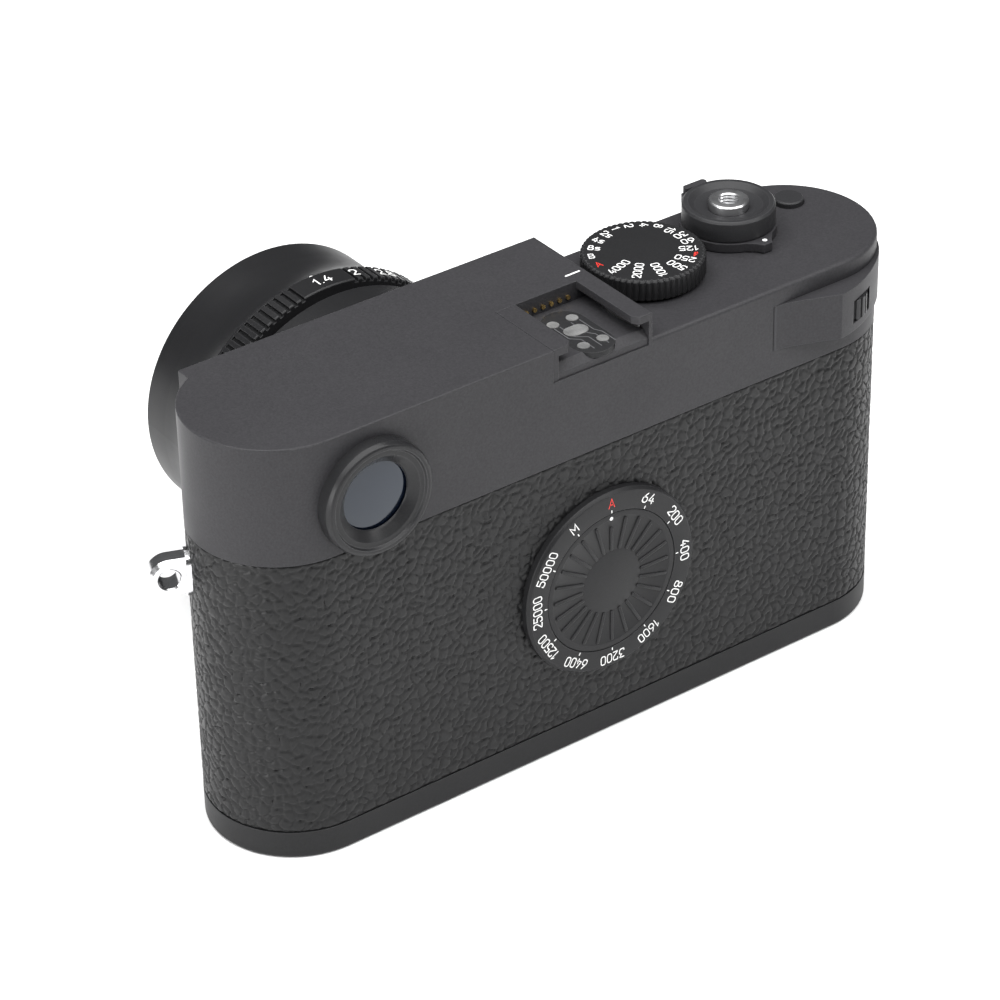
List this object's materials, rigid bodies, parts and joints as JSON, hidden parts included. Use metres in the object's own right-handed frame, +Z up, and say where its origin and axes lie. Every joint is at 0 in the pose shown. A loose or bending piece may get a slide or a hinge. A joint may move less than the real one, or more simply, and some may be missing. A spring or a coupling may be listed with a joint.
{
  "type": "rangefinder camera",
  "caption": "Compact rangefinder camera with rounded ends, fast standard lens, shutter dial, rear sensitivity dial, accessory shoe and leather-covered body.",
  "frame": {"origin": "underside of the base plate, at the middle of the body width and depth", "axes": "+Z up, +X to the right of someone facing the lens, lens looking along -Y"},
  "size_m": [0.1504, 0.0936, 0.0825],
  "materials": {
    "black_paint": "matte",
    "black_anodised": "satin anodised",
    "leatherette": "pebble grain",
    "steel": "polished",
    "satin_steel": "satin",
    "gold": "polished",
    "coated_glass": "coated",
    "black_plastic": "matte",
    "circuit": "matte",
    "sensor_glass": "coated",
    "grey_paint": "satin"
  },
  "bodies": {
    "camera": {"base_plate": "black_paint", "base_screws": "satin_steel", "body_shell": "black_anodised", "chassis": "grey_paint", "eyepiece_lens": "coated_glass", "eyepiece_ring": "black_anodised", "eyepiece_tube": "black_anodised", "helicoid_sleeve": "black_anodised", "image_sensor": "sensor_glass", "iso_ring": "black_anodised", "leather_wrap": "leatherette", "lens_barrel": "black_anodised", "lens_flange": "steel", "lens_mount_ring": "steel", "main_board": "circuit", "mount_screws": "satin_steel", "rangefinder_window": "coated_glass", "release_collar": "black_paint", "release_guard": "black_paint", "shoe_block": "black_paint", "shoe_contacts": "steel", "shoe_insulator": "black_plastic", "shoe_pins": "gold", "shoe_plate": "black_paint", "shoe_spring": "satin_steel", "shutter_blades": "satin_steel", "shutter_dial_axle": "satin_steel", "shutter_frame": "black_plastic", "strap_lug_left": "steel", "strap_lug_right": "steel", "thumb_rest": "black_paint", "thumb_wheel_pin": "satin_steel", "top_plate": "black_paint", "tripod_bush": "satin_steel", "usb_port": "satin_steel", "viewfinder_bezel": "black_anodised", "viewfinder_block": "coated_glass", "viewfinder_window": "coated_glass"},
    "shutter_dial": {"shutter_dial": "black_anodised"},
    "release_button": {"release_button": "steel"},
    "main_switch": {"main_switch": "black_paint"},
    "function_button": {"function_button": "black_paint"},
    "iso_dial": {"iso_disc": "black_anodised"},
    "thumb_wheel": {"thumb_wheel": "black_anodised"},
    "focus_ring": {"focus_ring": "black_anodised"},
    "optical_unit": {"lens_tube": "black_anodised", "front_barrel": "black_anodised", "front_retainer": "black_anodised", "front_element": "coated_glass", "second_element": "coated_glass", "third_element": "coated_glass", "rear_element": "coated_glass", "iris_housing": "black_anodised", "iris_blades": "satin_steel", "rear_cell": "black_anodised"},
    "aperture_ring": {"aperture_ring": "black_anodised"},
    "lens_release_button": {"lens_release_button": "steel"},
    "frame_selector": {"frame_selector_lever": "black_anodised"},
    "battery": {"battery": "black_plastic"},
    "battery_latch": {"battery_latch": "black_plastic"}
  },
  "joints": [
    {"name": "shutter_dial_turn", "type": "hinge", "parent": "camera", "child": "shutter_dial", "pos_m": [-0.0237, -0.0024, 0.0788], "axis": [0, 0, 1], "continuous": true},
    {"name": "release_press", "type": "slide", "parent": "camera", "child": "release_button", "axis": [0, 0, -1], "range_m": [0, 0.001], "stiffness_N_per_m": 600, "springref_m": -0.0003},
    {"name": "main_switch_turn", "type": "hinge", "parent": "camera", "child": "main_switch", "pos_m": [-0.0449, -0.00535, 0.0773], "axis": [0, 0, 1], "range_deg": [0, 35]},
    {"name": "function_button_press", "type": "slide", "parent": "camera", "child": "function_button", "axis": [0, 0, -1], "range_m": [0, 0.0005], "stiffness_N_per_m": 600, "springref_m": -0.0003},
    {"name": "iso_dial_turn", "type": "hinge", "parent": "camera", "child": "iso_dial", "pos_m": [-0.0014, 0.0164, 0.0324], "axis": [0, 1, 0], "continuous": true},
    {"name": "thumb_wheel_turn", "type": "hinge", "parent": "camera", "child": "thumb_wheel", "pos_m": [-0.0543, 0.0148, 0.068], "axis": [0, 0, 1], "continuous": true},
    {"name": "focus_turn", "type": "hinge", "parent": "camera", "child": "focus_ring", "pos_m": [0.0088, -0.0418, 0.034], "axis": [0, 1, 0], "range_deg": [0, 95]},
    {"name": "focus_travel", "type": "slide", "parent": "camera", "child": "optical_unit", "axis": [0, -1, 0], "range_m": [0, 0.003]},
    {"name": "aperture_turn", "type": "hinge", "parent": "optical_unit", "child": "aperture_ring", "pos_m": [0.0088, -0.0535, 0.034], "axis": [0, 1, 0], "range_deg": [0, 66]},
    {"name": "lens_release_press", "type": "slide", "parent": "camera", "child": "lens_release_button", "axis": [0, 1, 0], "range_m": [0, 0.0015], "stiffness_N_per_m": 800, "springref_m": -0.0003},
    {"name": "frame_selector_swing", "type": "hinge", "parent": "camera", "child": "frame_selector", "pos_m": [-0.027, -0.0178, 0.042], "axis": [0, 1, 0], "range_deg": [-20, 20], "stiffness_Nm_per_rad": 0.02},
    {"name": "battery_slide", "type": "slide", "parent": "camera", "child": "battery", "axis": [0, 0, -1], "range_m": [0, 0.046]},
    {"name": "battery_latch_turn", "type": "hinge", "parent": "camera", "child": "battery_latch", "pos_m": [-0.0245, 0, 0.0007], "axis": [0, 0, 1], "range_deg": [0, 60]}
  ],
  "couplings": [
    {"joint": "focus_turn", "follows": "focus_travel", "rad_per_m": 552.69}
  ]
}
